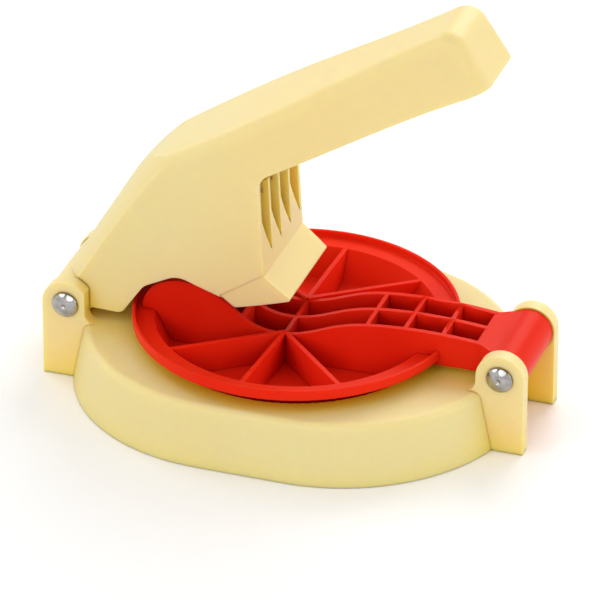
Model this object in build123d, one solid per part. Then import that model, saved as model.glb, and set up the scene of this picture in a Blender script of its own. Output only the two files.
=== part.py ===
from build123d import *
import os
from math import cos, radians

os.makedirs("parts", exist_ok=True)

# Frame: the ground is z = 0, +X runs from the handle's hinge to the plate's hinge,
# -Y is the side seen in the photograph, and the origin is the middle of the base.
# Side outlines are pairs (x, height above the deck), the deck being the top of the base.

# Base
base_length = 193.0
base_width = 155.0
base_height = 26.5
base_draft = 11.3
base_wall = 2.8
base_edge_round = 3.5
base_rib = 2.2
base_rib_x = 34.0
base_rib_y = 27.0
base_rib_lift = 8.0

# Well in the deck, in which the plate presses the dough
well_depth = 9.1
well_gap = 1.5
well_edge_round = 1.0

# The two clevises that stand at the ends of the base
hinge_inset = 1.1
hinge_rise = 8.0
ear_radius = 10.4
ear_thickness = 6.0
ear_outer_y = 24.8
ear_flank = 8.4
ear_foot_round = 5.0
barrel_radius = 9.6
barrel_gap = 0.3
pocket_gap = 0.9

# Steel pins with domed push-on caps
pin_radius = 3.0
pin_overrun = 1.4
pin_chamfer = 0.3
pin_running_fit = 0.06
cap_radius = 5.6
cap_rim = 0.9
cap_height = 2.7

# Pressing plate: a deep bowl with a flat ring and a thin lip round it
plate_x = -1.3
plate_radius = 68.9
press_gap = 1.1
bowl_skin = 2.0
bowl_floor_radius = 52.6
bowl_mouth_radius = 59.5
bowl_floor_round = 3.0
ring_rise = 7.5
ring_skin = 1.6
lip_rise = 2.8
lip_thickness = 1.5
rim_round = 0.5

# Its ribs
rib_thickness = 2.2
rib_half_spread = 16.0
gusset_thickness = 2.0
gusset_drop = 0.1
cross_thickness = 1.8
cross_x = -20.0
near_gusset_angles = (-44, -94, -144)
far_gusset_angles = (36, 88, 144)

# Its arm
arm_half_spread = 14.0
arm_cell = 16.4
arm_cells = 3
arm_under = 3.5
arm_root_x = 62.0
arm_end_inset = 11.9
arm_flare_inset = 4.9

# Handle
handle_wall = 2.6
handle_hinge_half = 18.5
handle_flank_half = 22.6
handle_nose_half = 25.2
handle_waist_half = 17.2
handle_knob_half = 18.4
handle_edge_round = 6.0
handle_rib = 1.8
handle_rib_pitch = 11.8
back_crown = 30.0
nose_step = 0.5
reach = 250.0

hinge_x = base_length / 2 - hinge_inset
hinge_z = base_height + hinge_rise
ear_inner_y = ear_outer_y - ear_thickness
barrel_half = ear_inner_y - barrel_gap
hinges = (-hinge_x, hinge_x)
arm_end_x = hinge_x - arm_end_inset


def save(shape, name):
    solids = shape.solids()
    if len(solids) != 1:
        raise ValueError(f"{name} has {len(solids)} solids")
    print(name, round(shape.volume), shape.is_valid)
    export_step(solids[0], f"parts/{name}.step")


def rod(x, radius, half):
    """Round bar on one of the hinge axes."""
    return Pos(x, 0, hinge_z) * Rot(90, 0, 0) * Cylinder(radius, 2 * half)


def upright(angle, length, thickness, low, high):
    """Standing wall through the origin, turned by angle about Z."""
    wall = Box(length, thickness, high - low, align=(Align.CENTER, Align.CENTER, Align.MIN))
    return Pos(0, 0, low) * Rot(0, 0, angle) * wall


def web(face, y, thickness):
    """Lengthwise wall cut to a side outline that is measured from the deck."""
    return Pos(0, y + thickness / 2, base_height) * extrude(Plane.XZ * face, thickness)


def outline(*points):
    """Face inside straight lines through the points."""
    return make_face(Polyline(*points, close=True))


def rounded(*corners):
    """Face inside lines through (point, corner radius) pairs."""
    points = [point for point, _ in corners]
    return make_face(FilletPolyline(*points, radius=[radius for _, radius in corners], close=True))


# Pressing plate's bowl, as a half section about its own axis
bowl_floor = bowl_skin + press_gap - well_depth
bowl_under = press_gap - well_depth
bowl_lean = (bowl_mouth_radius - bowl_floor_radius) / (ring_rise - bowl_floor)
bowl_foot_radius = bowl_floor_radius + bowl_skin
neck_radius = bowl_foot_radius + bowl_lean * (ring_rise - ring_skin - bowl_under)
deck_radius = bowl_foot_radius - bowl_lean * bowl_under
lip_top = ring_rise + lip_rise
bowl_outside = (
    (0, bowl_under),
    (bowl_foot_radius, bowl_under),
    (neck_radius, ring_rise - ring_skin),
    (plate_radius, ring_rise - ring_skin),
)


def turned(face):
    """Solid of revolution about the plate's axis."""
    return Pos(plate_x, 0, base_height) * revolve(Plane.XZ * face, Axis.Z)


# Base shell with its underside ribs and the well
outer = extrude(SlotOverall(base_length, base_width), base_height, taper=base_draft)
outer = fillet(outer.edges().group_by(Axis.Z)[-1], base_edge_round)
hollow = extrude(
    SlotOverall(base_length - 2 * base_wall, base_width - 2 * base_wall),
    base_height - base_wall,
    taper=base_draft,
)
under_ribs = Part()
for side in (-1, 1):
    under_ribs += Pos(0, side * base_rib_y, 0) * upright(0, base_length, base_rib, base_rib_lift, base_height)
    under_ribs += Pos(side * base_rib_x, 0, 0) * upright(90, base_width, base_rib, base_rib_lift, base_height)

well_mouth = deck_radius + well_gap
well_foot = well_mouth - bowl_lean * well_depth
well = turned(
    outline(
        (0, -well_depth),
        (well_foot, -well_depth),
        (well_mouth, 0),
        (well_mouth, base_height),
        (0, base_height),
    )
)
well_cup = turned(
    outline(
        (0, -well_depth - base_wall),
        (well_foot + base_wall, -well_depth - base_wall),
        (well_mouth + base_wall, 0),
        (0, 0),
    )
)

pockets = Part()
pocket_walls = Part()
for x in hinges:
    pockets += rod(x, barrel_radius + pocket_gap, ear_inner_y)
    pocket_walls += rod(x, barrel_radius + pocket_gap + base_wall, ear_inner_y + base_wall)

base = outer - (hollow - pocket_walls - under_ribs - well_cup)
base -= well
mouth_edges = base.edges().filter_by(GeomType.CIRCLE)
mouth_edges = mouth_edges.filter_by(lambda edge: abs(edge.radius - well_mouth) < rim_round)
base = fillet(mouth_edges, well_edge_round)
for side in (-1, 1):
    centre = side * hinge_x
    ear = Pos(centre, hinge_rise) * Circle(ear_radius)
    ear += Pos(centre, (hinge_rise - base_height) / 2) * Rectangle(2 * ear_radius, hinge_z)
    if side < 0:
        ear -= Pos(centre + ear_flank + ear_radius, hinge_rise) * Rectangle(2 * ear_radius, 3 * hinge_z)
    foot_x = centre + (ear_flank if side < 0 else -ear_radius)
    foot = Pos(foot_x - side * ear_foot_round / 2, 0) * Rectangle(ear_foot_round, 2 * ear_foot_round)
    foot -= Pos(foot_x - side * ear_foot_round, ear_foot_round) * Circle(ear_foot_round)
    for across in (-1, 1):
        base += web(ear + foot, across * (ear_inner_y + ear_outer_y) / 2, ear_thickness)
base -= pockets
for x in hinges:
    base -= rod(x, pin_radius, 2 * ear_outer_y)
save(base, "base")

# Pins, and the domed caps pushed on their ends
cap_sphere = (cap_radius**2 + (cap_height - cap_rim) ** 2) / (2 * (cap_height - cap_rim))
cap = Pos(0, 0, cap_height - cap_sphere) * Sphere(cap_sphere)
cap &= Cylinder(cap_radius, cap_height, align=(Align.CENTER, Align.CENTER, Align.MIN))
cap -= Cylinder(pin_radius, 2 * pin_overrun)
for name, x in (("handle", -hinge_x), ("plate", hinge_x)):
    pin = rod(x, pin_radius, ear_outer_y + pin_overrun)
    save(chamfer(pin.edges().filter_by(GeomType.CIRCLE), pin_chamfer), name + "_pin")
    for side, tag in ((-1, "near"), (1, "far")):
        seated = Pos(x, side * ear_outer_y, hinge_z) * Rot(-side * 90, 0, 0) * cap
        save(seated, f"{name}_pin_cap_{tag}")

# Turned bowl
bowl = outline(
    *bowl_outside,
    (plate_radius, lip_top),
    (plate_radius - lip_thickness, lip_top),
    (plate_radius - lip_thickness, ring_rise),
    (bowl_mouth_radius, ring_rise),
    (bowl_floor_radius, bowl_floor),
    (0, bowl_floor),
)
floor_corner = bowl.vertices().sort_by_distance((bowl_floor_radius, bowl_floor, 0))[0]
bowl = fillet(floor_corner, bowl_floor_round)
rim_corners = bowl.vertices().filter_by(lambda v: v.X > bowl_mouth_radius - rim_round and v.Y > 0)
rim_corners = rim_corners.filter_by(lambda v: abs(v.X - neck_radius) > rim_round)
bowl = fillet(rim_corners, rim_round)
plate = turned(bowl)

# Ribs stay inside the bowl's outside and, past its rim, above the arm's underside
ribs_room = turned(outline(*bowl_outside, (plate_radius, reach), (0, reach)))
arm_room = outline((arm_root_x, arm_under), (arm_end_x, arm_under), (arm_end_x, reach), (arm_root_x, reach))
ribs_room += web(arm_room, 0, reach)

# Lengthwise ribs: a tall hump at the handle's end, a low saddle at the hub, then the arm
hump_foot = (-64.0, bowl_under)
hump_end = (-64.0, 10.5)
hump_shoulder = (-57.0, 20.3)
hump_top = (-44.0, 23.1)
hump_slope = (-27.0, 16.1)
saddle_start = (-15.0, 7.9)
saddle_end = (5.0, 7.4)
arm_rise = (22.0, 13.7)
arm_crest = (44.0, 17.4)
arm_last = (arm_end_x, 16.5)
arm_foot = (arm_end_x, bowl_under)
hump = (hump_end, hump_shoulder, hump_top, hump_slope, saddle_start)
crest = Spline(*hump, saddle_end, arm_rise, arm_crest, arm_last)
rib_face = make_face(crest + Polyline(arm_last, arm_foot, hump_foot, hump_end))
ribs = web(rib_face, 0, 2 * rib_half_spread) & ribs_room
tracks = upright(0, 3 * plate_radius, rib_thickness, 0, reach)
channel = Part()
for side in (-1, 1):
    outer_run = [(-plate_radius, side * rib_half_spread), (plate_x, side * rib_half_spread)]
    outer_run.append((arm_end_x, side * arm_half_spread))
    inner_run = [(x, y - side * rib_thickness) for x, y in reversed(outer_run)]
    tracks += extrude(outline(*outer_run, *inner_run), reach)
    channel += extrude(outline(*outer_run, (arm_end_x, 0), (-plate_radius, 0)), reach)
plate += ribs & tracks

# Cross walls: one at the hub, a short one beside it, and those between the arm's cells
cross_places = [plate_x, cross_x]
for n in range(arm_cells):
    cross_places.append(arm_end_x - (n + 1) * arm_cell)
for x in cross_places:
    wall = Pos(x, 0, 0) * upright(90, 2 * rib_half_spread, cross_thickness, 0, reach)
    plate += wall & ribs & channel

# Gussets run level from the hub to the bowl's mouth, as deep as the bowl
gusset_room = turned(
    outline(
        (0, bowl_under),
        (bowl_foot_radius, bowl_under),
        (bowl_mouth_radius + bowl_skin / 2, ring_rise - gusset_drop),
        (0, ring_rise - gusset_drop),
    )
)
for side, angles in ((-1, near_gusset_angles), (1, far_gusset_angles)):
    for angle in angles:
        wall = Pos(plate_radius / 2, 0, 0) * upright(0, plate_radius, gusset_thickness, 0, reach)
        start = Pos(plate_x, side * (rib_half_spread - rib_thickness / 2), 0)
        plate += start * Rot(0, 0, angle) * wall & gusset_room

# Arm end: a solid ramp that widens into the barrel
arm_flare = (hinge_x - arm_flare_inset, 16.2)
ramp = outline(
    (arm_end_x - cross_thickness, arm_under),
    (arm_end_x - cross_thickness, arm_last[1]),
    arm_last,
    arm_flare,
    (hinge_x, hinge_rise + barrel_radius),
    (hinge_x, hinge_rise - barrel_radius / 2),
)
ramp_plan = outline(
    (arm_end_x - cross_thickness, arm_half_spread),
    (arm_end_x, arm_half_spread),
    (arm_flare[0], barrel_half),
    (hinge_x, barrel_half),
    (hinge_x, -barrel_half),
    (arm_flare[0], -barrel_half),
    (arm_end_x, -arm_half_spread),
    (arm_end_x - cross_thickness, -arm_half_spread),
)
plate += web(ramp, 0, 2 * barrel_half) & extrude(ramp_plan, reach)
plate += rod(hinge_x, barrel_radius, barrel_half)
plate -= rod(hinge_x, pin_radius + pin_running_fit, 2 * barrel_half)
save(plate, "pressing_plate")

# Handle's plan: narrow between the ears, widest at the nose, a waist and a knob along the grip
ear_clear_x = -86.0
flank_x = -48.0
nose_back_x = -9.0
waist_x = 66.0
knob_x = 82.0
tip_x = 110.0


def plan(inset):
    """Handle seen from above, its sides taken in by a wall thickness."""
    sides = Polyline(
        (tip_x, 0),
        (-2 * hinge_x, 0),
        (-2 * hinge_x, handle_hinge_half - inset),
        (ear_clear_x, handle_hinge_half - inset),
    )
    sides += Spline(
        (ear_clear_x, handle_hinge_half - inset),
        (flank_x, handle_flank_half - inset),
        (nose_back_x, handle_nose_half - inset),
        (waist_x, handle_waist_half - inset),
        (knob_x, handle_knob_half - inset),
        (tip_x, handle_knob_half - inset),
        tangents=[(1, 0), (1, 0)],
    )
    sides += Line((tip_x, handle_knob_half - inset), (tip_x, 0))
    half = extrude(make_face(sides), reach)
    return half + mirror(half, Plane.XZ)


# Handle's back, from the heel at the hinge over the knee to the tip
heel = (-hinge_x - 7.3, 12.5)
heel_foot = (-hinge_x - 4.6, -6.5)
knee = (-65.2, 75.7)
knee_round = 60.0
tip_top = (70.7, 161.0)
tip_top_round = 9.0
tip_foot = (86.3, 136.8)
tip_foot_round = 2.0
belly = (40.0, -6.5)
back_face = rounded(
    (heel, 0),
    (knee, knee_round),
    (tip_top, tip_top_round),
    (tip_foot, tip_foot_round),
    (belly, 0),
    (heel_foot, 0),
)

# Its lower back, arched across with back_crown as radius
heel_point = Vector(heel[0], 0, base_height + heel[1])
knee_point = Vector(knee[0], 0, base_height + knee[1])
foot_point = Vector(tip_foot[0], 0, base_height + tip_foot[1])
back_plane = Plane(origin=heel_point, x_dir=(0, 1, 0), z_dir=knee_point - heel_point)
chord_plane = Plane(origin=heel_point, x_dir=(0, 1, 0), z_dir=foot_point - heel_point)


def moulding(inset):
    """Outside of the handle's back and flanks, or the same taken in by a wall thickness."""
    side_face = offset(back_face, -inset) if inset else back_face
    solid = web(side_face, 0, reach) & plan(inset)
    long_edges = []
    for edge in solid.edges():
        middle = chord_plane.to_local_coords(edge @ 0.5)
        standing = abs((edge % 0.5).Z) > cos(radians(base_draft))
        if abs(middle.X) > handle_waist_half / 2 and middle.Y > handle_edge_round / 2 and not standing:
            long_edges.append(edge)
    solid = fillet(long_edges, handle_edge_round - inset)
    arch = Pos(0, -back_crown) * Circle(back_crown - inset)
    arch += Pos(0, -back_crown - reach / 2) * Rectangle(2 * (back_crown - inset), reach)
    return solid & extrude(back_plane * arch, reach, both=True)


# Its underside: grip channel, throat, chin and toe, then the vault over the plate's hump
grip_under = (tip_x, 149.9)
throat = (-9.6, 82.6)
throat_round = 8.0
chin = (-7.2, 37.3)
toe = (5.0, 27.4)
toe_round = 1.0
toe_back = (-20.0, 20.5)
toe_back_round = 2.0
notch = (-25.0, 24.1)
notch_round = 3.0
vault = (-46.0, 29.7)
vault_round = 12.0
vault_end = (-62.0, 20.5)
vault_end_round = 8.0
heel_under = (-72.5, 4.9)
heel_under_round = 5.0
under_face = rounded(
    (grip_under, 0),
    (throat, throat_round),
    (chin, 0),
    (toe, toe_round),
    (toe_back, toe_back_round),
    (notch, notch_round),
    (vault, vault_round),
    (vault_end, vault_end_round),
    (heel_under, heel_under_round),
    ((-reach, heel_under[1]), 0),
    ((-reach, reach), 0),
    ((tip_x, reach), 0),
)

# Nose: its sides are set in below a step that rises from the notch to the chin
step_start = (-26.4, 25.5)
step_end = (-8.1, 37.8)
nose_face = outline(step_start, step_end, (tip_x, step_end[1]), (tip_x, 0), (step_start[0], 0))

# Cavity, closed in front by the throat wall and the toe
throat_inside = (-12.0, 75.5)
chin_inside = (-10.2, 36.2)
toe_inside = (1.0, 27.0)
grip_inside = (tip_x, 144.6)
cavity_face = outline(
    grip_inside,
    throat_inside,
    chin_inside,
    toe_inside,
    (toe_inside[0], -base_height),
    (-reach, -base_height),
    (-reach, reach),
    (tip_x, reach),
)

# Slots in the throat wall: each runs down aslant to a point beside the next rib
slot_high = 62.0
slot_middle = 51.8
slot_low = 44.0
slot_top = 80.0
slot_width = handle_rib_pitch - handle_rib
slots = Part()
for n in range(4):
    near = (n - 2) * handle_rib_pitch + handle_rib / 2
    far = near + slot_width
    slant = Spline((near, slot_high), (near + slot_width / 2, slot_middle), (far, slot_low))
    mouth = slant + Polyline((far, slot_low), (far, slot_top), (near, slot_top), (near, slot_high))
    slots += Pos(toe_inside[0], 0, base_height) * extrude(Plane.YZ * make_face(mouth), throat_inside[0] - 1)

# Ribs inside the handle, seen through the slots
rib_foot = (-80.0, 25.5)
rib_vault = (-56.0, 23.4)
rib_notch = (-20.0, 23.4)
rib_chin = (-8.8, 34.0)
rib_front = (-9.2, 65.5)
rib_back = (-14.0, 73.5)
comb_face = outline(rib_foot, rib_vault, rib_notch, rib_chin, rib_front, rib_back, (rib_back[0], reach), (-reach, reach))

shell = (moulding(0) & web(under_face, 0, reach)) - (web(nose_face, 0, reach) - plan(nose_step))
cavity = moulding(handle_wall) & web(cavity_face, 0, reach)
handle = shell - cavity - slots + rod(-hinge_x, barrel_radius, barrel_half)
comb = web(comb_face, 0, reach) & (cavity + (slots & shell))
for side in (-1, 0, 1):
    wall = upright(0, 2 * reach, handle_rib, 0, reach)
    handle += Pos(0, side * handle_rib_pitch, 0) * wall & comb
handle -= rod(-hinge_x, pin_radius + pin_running_fit, 2 * barrel_half)
save(handle, "handle")
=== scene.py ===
from math import cos, pi, radians, sin, sqrt

import bmesh
import bpy
from mathutils import Matrix, Vector


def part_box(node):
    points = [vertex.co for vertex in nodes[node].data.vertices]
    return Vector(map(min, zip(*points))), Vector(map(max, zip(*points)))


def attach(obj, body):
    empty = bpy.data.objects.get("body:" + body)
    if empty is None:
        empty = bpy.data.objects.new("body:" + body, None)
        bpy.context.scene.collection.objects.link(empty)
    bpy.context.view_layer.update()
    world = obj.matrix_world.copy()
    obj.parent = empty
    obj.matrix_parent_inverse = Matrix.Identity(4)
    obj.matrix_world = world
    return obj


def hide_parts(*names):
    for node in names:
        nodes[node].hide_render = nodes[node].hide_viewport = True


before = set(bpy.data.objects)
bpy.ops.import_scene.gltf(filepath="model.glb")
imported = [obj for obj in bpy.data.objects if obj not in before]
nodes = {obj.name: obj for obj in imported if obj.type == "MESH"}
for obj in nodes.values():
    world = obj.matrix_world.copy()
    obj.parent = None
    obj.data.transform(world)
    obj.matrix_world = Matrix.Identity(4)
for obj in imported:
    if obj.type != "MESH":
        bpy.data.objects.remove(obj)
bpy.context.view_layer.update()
mm = 0.001
black = (0, 0, 0)
white = (1, 1, 1)
print("frame loaded:", len(nodes), "nodes")


# shader parts

def newMaterial(name):
    material = bpy.data.materials.new(name)
    material.use_nodes = True
    return material, material.node_tree, material.node_tree.nodes["Principled BSDF"]


def addNoise(tree, scale, detail, stretch=(1, 1, 1)):
    coords = tree.nodes.new("ShaderNodeTexCoord")
    mapping = tree.nodes.new("ShaderNodeMapping")
    noise = tree.nodes.new("ShaderNodeTexNoise")
    mapping.inputs["Scale"].default_value = stretch
    noise.inputs["Scale"].default_value = scale
    noise.inputs["Detail"].default_value = detail
    tree.links.new(coords.outputs["Object"], mapping.inputs["Vector"])
    tree.links.new(mapping.outputs["Vector"], noise.inputs["Vector"])
    return noise.outputs["Fac"]


def addRamp(tree, source, low, high):
    ramp = tree.nodes.new("ShaderNodeValToRGB")
    for element, (place, colour) in zip(ramp.color_ramp.elements, (low, high)):
        element.position = place
        element.color = (*colour, 1)
    tree.links.new(source, ramp.inputs["Fac"])
    return ramp.outputs["Color"]


def addOpenness(tree, reach, samples):
    # low in corners and narrow gaps, 1 on open faces
    occlusion = tree.nodes.new("ShaderNodeAmbientOcclusion")
    occlusion.samples = samples
    occlusion.inputs["Distance"].default_value = reach
    return occlusion.outputs["AO"]


def addBlend(tree, shadeNookColour, openColour, openness):
    blend = tree.nodes.new("ShaderNodeMixRGB")
    blend.inputs["Color1"].default_value = (*shadeNookColour, 1)
    tree.links.new(openness, blend.inputs["Fac"])
    tree.links.new(openColour, blend.inputs["Color2"])
    return blend.outputs["Color"]


def addRoughness(tree, shader, source, look):
    gloss = tree.nodes.new("ShaderNodeMapRange")
    gloss.inputs["To Min"].default_value = look["roughLow"]
    gloss.inputs["To Max"].default_value = look["roughHigh"]
    tree.links.new(source, gloss.inputs["Value"])
    tree.links.new(gloss.outputs["Result"], shader.inputs["Roughness"])


def addBump(tree, height, strength, distance, below=None):
    bump = tree.nodes.new("ShaderNodeBump")
    bump.inputs["Strength"].default_value = strength
    bump.inputs["Distance"].default_value = distance
    tree.links.new(height, bump.inputs["Height"])
    if below:
        tree.links.new(below, bump.inputs["Normal"])
    return bump.outputs["Normal"]


# moulded plastic: colour drifts slightly, corners and fine steps carry painted shade, a fine skin
# and slow sink marks break up the gloss

plasticLook = {
    "driftDetail": 2.0, "driftLow": 0.3, "driftHigh": 0.7,
    "smearDetail": 4.0, "smearStretch": (1, 1, 2.5),
    "skinDetail": 2.0, "skinDepth": 0.0001, "sinkDetail": 1.0, "sinkDepth": 0.0008,
    # painted shade: the sample count and the range of the thin dark line in fine steps
    "openSamples": 8, "seamShadeDark": 0.45, "seamShadeClear": 0.85, "ior": 1.49,
}
creamLook = {
    **plasticLook,
    "deep": (0.87, 0.69, 0.31), "light": (0.9, 0.73, 0.35), "driftScale": 9.0,
    "smearScale": 45.0, "roughLow": 0.34, "roughHigh": 0.48, "shine": 0.35, "tint": (1.0, 1.0, 1.0),
    "skinScale": 1600.0, "skinStrength": 0.12, "sinkScale": 22.0, "sinkStrength": 0.12,
    "glow": 0.7, "glowRadius": (1.0, 0.75, 0.12), "glowDepth": 0.005,
    # painted shade: a deep golden colour in corners and a thin brownish line in fine steps
    "shadeNook": (0.96, 0.68, 0.02), "shadeNookReach": 0.03, "shadeNookDark": 0.15, "shadeNookClear": 0.75,
    "seamShade": (0.55, 0.43, 0.22), "seamShadeReach": 0.0016,
}
redLook = {
    **plasticLook,
    "deep": (0.74, 0.014, 0.004), "light": (0.84, 0.028, 0.008), "driftScale": 14.0,
    "smearScale": 60.0, "roughLow": 0.3, "roughHigh": 0.42, "shine": 0.1, "tint": (1.0, 0.5, 0.3),
    "skinScale": 1800.0, "skinStrength": 0.1, "sinkScale": 30.0, "sinkStrength": 0.12,
    "glow": 0.4, "glowRadius": (1.0, 0.12, 0.05), "glowDepth": 0.003,
    # painted shade: a darker red in corners and a faint dark line in fine steps
    "shadeNook": (0.5, 0.002, 0.001), "shadeNookReach": 0.02, "shadeNookDark": 0.1, "shadeNookClear": 0.55,
    "seamShade": (0.8, 0.7, 0.7), "seamShadeReach": 0.0012,
}


def mouldedPlastic(name, look):
    material, tree, shader = newMaterial(name)
    drift = addNoise(tree, look["driftScale"], look["driftDetail"])
    tone = addRamp(
        tree, drift, (look["driftLow"], look["deep"]), (look["driftHigh"], look["light"]))

    # painted shade: corners and narrow gaps are painted a deeper colour, standing in for shade and
    # for light that has come through the walls
    shadeNook = addOpenness(tree, look["shadeNookReach"], look["openSamples"])
    openness = addRamp(tree, shadeNook, (look["shadeNookDark"], black), (look["shadeNookClear"], white))
    body = addBlend(tree, look["shadeNook"], tone, openness)

    # painted shade: fine steps and inner corners are painted with a thin dark line
    seamShade = addOpenness(tree, look["seamShadeReach"], look["openSamples"])
    line = addRamp(tree, seamShade, (look["seamShadeDark"], look["seamShade"]), (look["seamShadeClear"], white))
    shade = tree.nodes.new("ShaderNodeMixRGB")
    shade.blend_type = "MULTIPLY"
    shade.inputs["Fac"].default_value = 1.0
    tree.links.new(body, shade.inputs["Color1"])
    tree.links.new(line, shade.inputs["Color2"])
    tree.links.new(shade.outputs["Color"], shader.inputs["Base Color"])

    smear = addNoise(tree, look["smearScale"], look["smearDetail"], look["smearStretch"])
    addRoughness(tree, shader, smear, look)
    skin = addNoise(tree, look["skinScale"], look["skinDetail"])
    sink = addNoise(tree, look["sinkScale"], look["sinkDetail"])
    slow = addBump(tree, sink, look["sinkStrength"], look["sinkDepth"])
    fine = addBump(tree, skin, look["skinStrength"], look["skinDepth"], slow)
    tree.links.new(fine, shader.inputs["Normal"])

    shader.inputs["IOR"].default_value = look["ior"]
    shader.inputs["Specular IOR Level"].default_value = look["shine"]
    shader.inputs["Specular Tint"].default_value = (*look["tint"], 1)
    shader.inputs["Subsurface Weight"].default_value = look["glow"]
    shader.inputs["Subsurface Radius"].default_value = look["glowRadius"]
    shader.inputs["Subsurface Scale"].default_value = look["glowDepth"]
    return material


creamPlastic = mouldedPlastic("butterPlastic", creamLook)
redPlastic = mouldedPlastic("redPlastic", redLook)


# polished steel: a mottled polish with fine scratches, with painted shade, near black, in tight
# corners such as where cap and ear meet

steelLook = {
    # painted shade: the near-black colour goes in tight corners, such as where cap and ear meet
    "deep": (0.36, 0.34, 0.33), "light": (0.52, 0.51, 0.5), "capShade": (0.04, 0.035, 0.03),
    "patchScale": 260.0, "patchDetail": 4.0, "patchLow": 0.35, "patchHigh": 0.65,
    "capShadeReach": 0.0012, "capShadeSamples": 16, "capShadeDark": 0.35, "capShadeClear": 0.85,
    "scratchScale": 900.0, "scratchDetail": 3.0, "scratchStretch": (1, 0.15, 1),
    "scratchStrength": 0.1, "scratchDepth": 0.00005, "roughLow": 0.06, "roughHigh": 0.14,
}


def polishedSteel(name, look):
    material, tree, shader = newMaterial(name)
    shader.inputs["Metallic"].default_value = 1.0
    patches = addNoise(tree, look["patchScale"], look["patchDetail"])
    tone = addRamp(
        tree, patches, (look["patchLow"], look["deep"]), (look["patchHigh"], look["light"]))
    # painted shade: near black in tight corners, such as where cap and ear meet
    shadeNook = addOpenness(tree, look["capShadeReach"], look["capShadeSamples"])
    openness = addRamp(tree, shadeNook, (look["capShadeDark"], black), (look["capShadeClear"], white))
    body = addBlend(tree, look["capShade"], tone, openness)
    tree.links.new(body, shader.inputs["Base Color"])
    scratches = addNoise(tree, look["scratchScale"], look["scratchDetail"], look["scratchStretch"])
    addRoughness(tree, shader, scratches, look)
    bump = addBump(tree, scratches, look["scratchStrength"], look["scratchDepth"])
    tree.links.new(bump, shader.inputs["Normal"])
    return material


steel = polishedSteel("polishedSteel", steelLook)


def newPiece(bm, name, material, smooth):
    mesh = bpy.data.meshes.new(name)
    bm.to_mesh(mesh)
    bm.free()
    for polygon in mesh.polygons:
        polygon.use_smooth = smooth
    mesh.materials.append(material)
    piece = bpy.data.objects.new(name, mesh)
    bpy.context.scene.collection.objects.link(piece)
    return piece


# plastic mouldings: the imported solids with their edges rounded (metres and degrees)

edgeLook = {"weld": 0.00002, "flatAngle": 0.5, "edgeAngle": 35.0, "narrow": 0.0008, "edgeSteps": 2}
baseLook = {**edgeLook, "edgeRound": 0.0007}
plateLook = {**edgeLook, "edgeRound": 0.0005}
handleLook = {**edgeLook, "edgeRound": 0.0003}


def softened(nodeName, pieceName, body, material, look):
    bm = bmesh.new()
    bm.from_mesh(nodes[nodeName].data)
    bmesh.ops.remove_doubles(bm, verts=bm.verts, dist=look["weld"])
    bmesh.ops.dissolve_limit(
        bm, angle_limit=radians(look["flatAngle"]), verts=bm.verts, edges=bm.edges,
        use_dissolve_boundaries=False, delimit={"NORMAL"})
    weights = bm.edges.layers.float.new("bevel_weight_edge")
    for line in bm.edges:
        if len(line.link_faces) == 2 and line.calc_face_angle() > radians(look["edgeAngle"]):
            strip = min(face.calc_area() for face in line.link_faces) / line.calc_length()
            line.smooth = strip > look["narrow"]  # a step too narrow to round stays crisp
            line[weights] = 1.0 if line.smooth else 0.0
    piece = newPiece(bm, pieceName, material, True)
    edge = piece.modifiers.new("softEdges", "BEVEL")
    edge.limit_method = "WEIGHT"
    edge.width = look["edgeRound"]
    edge.segments = look["edgeSteps"]
    edge.use_clamp_overlap = True
    even = piece.modifiers.new("evenNormals", "WEIGHTED_NORMAL")
    even.mode = "FACE_AREA"
    even.keep_sharp = True
    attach(piece, body)
    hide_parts(nodeName)


softened("base", "baseMoulding", "stand", creamPlastic, baseLook)
softened("pressing_plate", "plateMoulding", "plate", redPlastic, plateLook)
softened("handle", "handleMoulding", "lever", creamPlastic, handleLook)
print("mouldings done")


# steel caps: a turned dome with a short straight rim and a shallow centre mark (millimetres)

capLook = {
    "radius": 5.6, "height": 2.7, "rim": 0.9, "chamfer": 0.25, "dimple": 0.8, "dimpleRadius": 1.4,
    "rings": 25, "steps": 48, "weld": 0.001,
}


def pinCap(nodeName, pieceName, look):
    low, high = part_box(nodeName)
    centre = (Vector(low) + Vector(high)) / 2
    side = 1 if centre.y > 0 else -1
    seat = low[1] if side > 0 else high[1]
    radius, height, chamfer = look["radius"], look["height"], look["chamfer"]
    dome = height - look["rim"]
    curve = (radius ** 2 + dome ** 2) / (2 * dome)
    outline = [(0, 0), (radius - chamfer, 0), (radius, chamfer), (radius, look["rim"])]
    for ring in range(1, look["rings"]):
        r = radius * (1 - ring / look["rings"])
        z = height - curve + sqrt(curve ** 2 - r ** 2)
        z -= look["dimple"] * max(0, 1 - (r / look["dimpleRadius"]) ** 2) ** 2
        outline.append((r, z))
    outline.append((0, height - look["dimple"]))
    bm = bmesh.new()
    chain = [bm.verts.new((r, 0, z)) for r, z in outline]
    for start, end in zip(chain, chain[1:]):
        bm.edges.new((start, end))
    bmesh.ops.spin(
        bm, geom=bm.verts[:] + bm.edges[:], cent=(0, 0, 0), axis=(0, 0, 1), angle=2 * pi,
        steps=look["steps"], use_merge=True)
    bmesh.ops.remove_doubles(bm, verts=bm.verts, dist=look["weld"])
    bmesh.ops.recalc_face_normals(bm, faces=bm.faces)
    turn = Matrix.Rotation(radians(-90 * side), 4, "X")
    place = Matrix.Translation((centre.x, seat, centre.z)) @ turn @ Matrix.Scale(mm, 4)
    bmesh.ops.transform(bm, matrix=place, verts=bm.verts)
    piece = newPiece(bm, pieceName, steel, True)
    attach(piece, "stand")
    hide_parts(nodeName)


for pinName in ("handle_pin", "plate_pin"):
    for sideName in ("near", "far"):
        pinCap(f"{pinName}_cap_{sideName}", f"{pinName}Cap{sideName.title()}", capLook)
    pin = nodes[pinName]
    pin.data.materials.clear()
    pin.data.materials.append(steel)
print("steel done")


# floor: paper that looks white, lights the part as pale grey, and past the lamps stays white

floorLook = {
    "size": 9.0, "drop": 0.0002, "rough": 0.4, "tone": 0.88,
    "toneNear": 1.0, "toneFar": 1.56, "near": 0.4, "far": 0.95,
}


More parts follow.
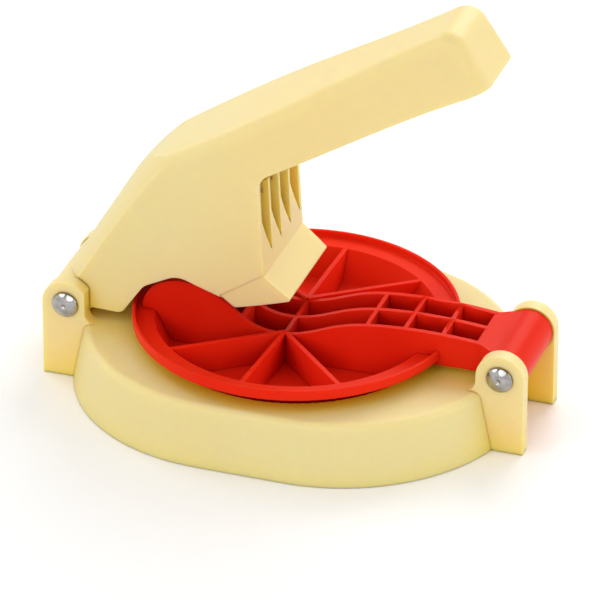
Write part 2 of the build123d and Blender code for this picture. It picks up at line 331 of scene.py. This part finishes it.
def paleFloor(look):
    material, tree, shader = newMaterial("paleFloor")
    rays = tree.nodes.new("ShaderNodeLightPath")
    tone = tree.nodes.new("ShaderNodeMapRange")
    tone.inputs["To Min"].default_value = look["tone"]
    coords = tree.nodes.new("ShaderNodeTexCoord")
    reach = tree.nodes.new("ShaderNodeVectorMath")
    reach.operation = "LENGTH"
    fade = tree.nodes.new("ShaderNodeMapRange")
    fade.inputs["From Min"].default_value = look["near"]
    fade.inputs["From Max"].default_value = look["far"]
    fade.inputs["To Min"].default_value = look["toneNear"]
    fade.inputs["To Max"].default_value = look["toneFar"]
    tree.links.new(coords.outputs["Object"], reach.inputs[0])
    tree.links.new(reach.outputs["Value"], fade.inputs["Value"])
    tree.links.new(fade.outputs["Result"], tone.inputs["To Max"])
    tree.links.new(rays.outputs["Is Camera Ray"], tone.inputs["Value"])
    tree.links.new(tone.outputs["Result"], shader.inputs["Base Color"])
    shader.inputs["Roughness"].default_value = look["rough"]
    bm = bmesh.new()
    bmesh.ops.create_grid(bm, x_segments=1, y_segments=1, size=look["size"] / 2)
    floor = newPiece(bm, "paleFloor", material, False)
    floor.location.z = -look["drop"]


paleFloor(floorLook)


# lamps: soft discs round the table

lamps = {
    "leftSoft": {"place": (-0.6, -0.7, 0.55), "aim": (0, 0, 0.08), "size": 0.6, "power": 1.5},
    "frontSoft": {"place": (0.15, -1.0, 0.45), "aim": (0, 0, 0.08), "size": 0.7, "power": 2.0},
    "rightSoft": {"place": (0.9, 0.12, 0.3), "aim": (0, 0, 0.08), "size": 0.6, "power": 1.9},
    "backSoft": {"place": (0.1, 0.62, 0.62), "aim": (0, 0, 0.1), "size": 0.6, "power": 2.9},
    "leftBackSoft": {"place": (-0.7, 0.3, 0.5), "aim": (0, 0, 0.08), "size": 0.5, "power": 1.5},
}
for name, look in lamps.items():
    data = bpy.data.lights.new(name, "AREA")
    data.shape = "DISK"
    data.size = look["size"]
    data.energy = look["power"]
    lamp = bpy.data.objects.new(name, data)
    lamp.location = look["place"]
    beam = Vector(look["aim"]) - Vector(look["place"])
    lamp.rotation_euler = beam.to_track_quat("-Z", "Y").to_euler()
    bpy.context.scene.collection.objects.link(lamp)


# world: polished metal mirrors white walls under a darker ceiling

worldLook = {
    "colour": (1, 1, 1, 1), "fill": 0.66, "seen": 1.0,
    "walls": 1.0, "ceiling": 0.12, "wallTop": 0.1, "ceilingEdge": 0.75,
}


def paleRoom(look):
    world = bpy.data.worlds.new("paleRoom")
    world.use_nodes = True
    tree = world.node_tree
    background = tree.nodes["Background"]
    background.inputs["Color"].default_value = look["colour"]
    rays = tree.nodes.new("ShaderNodeLightPath")
    strength = tree.nodes.new("ShaderNodeMapRange")
    strength.inputs["To Min"].default_value = look["fill"]
    strength.inputs["To Max"].default_value = look["seen"]
    tree.links.new(rays.outputs["Is Camera Ray"], strength.inputs["Value"])
    coords = tree.nodes.new("ShaderNodeTexCoord")
    split = tree.nodes.new("ShaderNodeSeparateXYZ")
    ceiling = tree.nodes.new("ShaderNodeMapRange")
    ceiling.inputs["From Min"].default_value = look["wallTop"]
    ceiling.inputs["From Max"].default_value = look["ceilingEdge"]
    ceiling.inputs["To Min"].default_value = look["walls"]
    ceiling.inputs["To Max"].default_value = look["ceiling"]
    tree.links.new(coords.outputs["Generated"], split.inputs["Vector"])
    tree.links.new(split.outputs["Z"], ceiling.inputs["Value"])
    mirrored = tree.nodes.new("ShaderNodeMath")
    mirrored.operation = "MAXIMUM"
    tree.links.new(rays.outputs["Is Glossy Ray"], mirrored.inputs[0])
    tree.links.new(rays.outputs["Is Transmission Ray"], mirrored.inputs[1])
    room = tree.nodes.new("ShaderNodeMapRange")
    tree.links.new(mirrored.outputs["Value"], room.inputs["Value"])
    tree.links.new(strength.outputs["Result"], room.inputs["To Min"])
    tree.links.new(ceiling.outputs["Result"], room.inputs["To Max"])
    tree.links.new(room.outputs["Result"], background.inputs["Strength"])
    bpy.context.scene.world = world


paleRoom(worldLook)


# camera: the photograph's view

cameraLook = {
    "azimuth": 19.0, "elevation": 29.86, "distance": 2.5, "target": (0.0002, 0, 0.0409),
    "lens": 358.9, "sensor": 36.0,
}
azimuth, elevation = radians(cameraLook["azimuth"]), radians(cameraLook["elevation"])
back = Vector((sin(azimuth) * cos(elevation), -cos(azimuth) * cos(elevation), sin(elevation)))
cameraData = bpy.data.cameras.new("photoView")
cameraData.lens = cameraLook["lens"]
cameraData.sensor_width = cameraLook["sensor"]
camera = bpy.data.objects.new("photoView", cameraData)
camera.location = Vector(cameraLook["target"]) + cameraLook["distance"] * back
camera.rotation_euler = (-back).to_track_quat("-Z", "Y").to_euler()
bpy.context.scene.collection.objects.link(camera)
bpy.context.scene.camera = camera
bpy.context.scene.view_settings.view_transform = "Standard"
print("stage done")
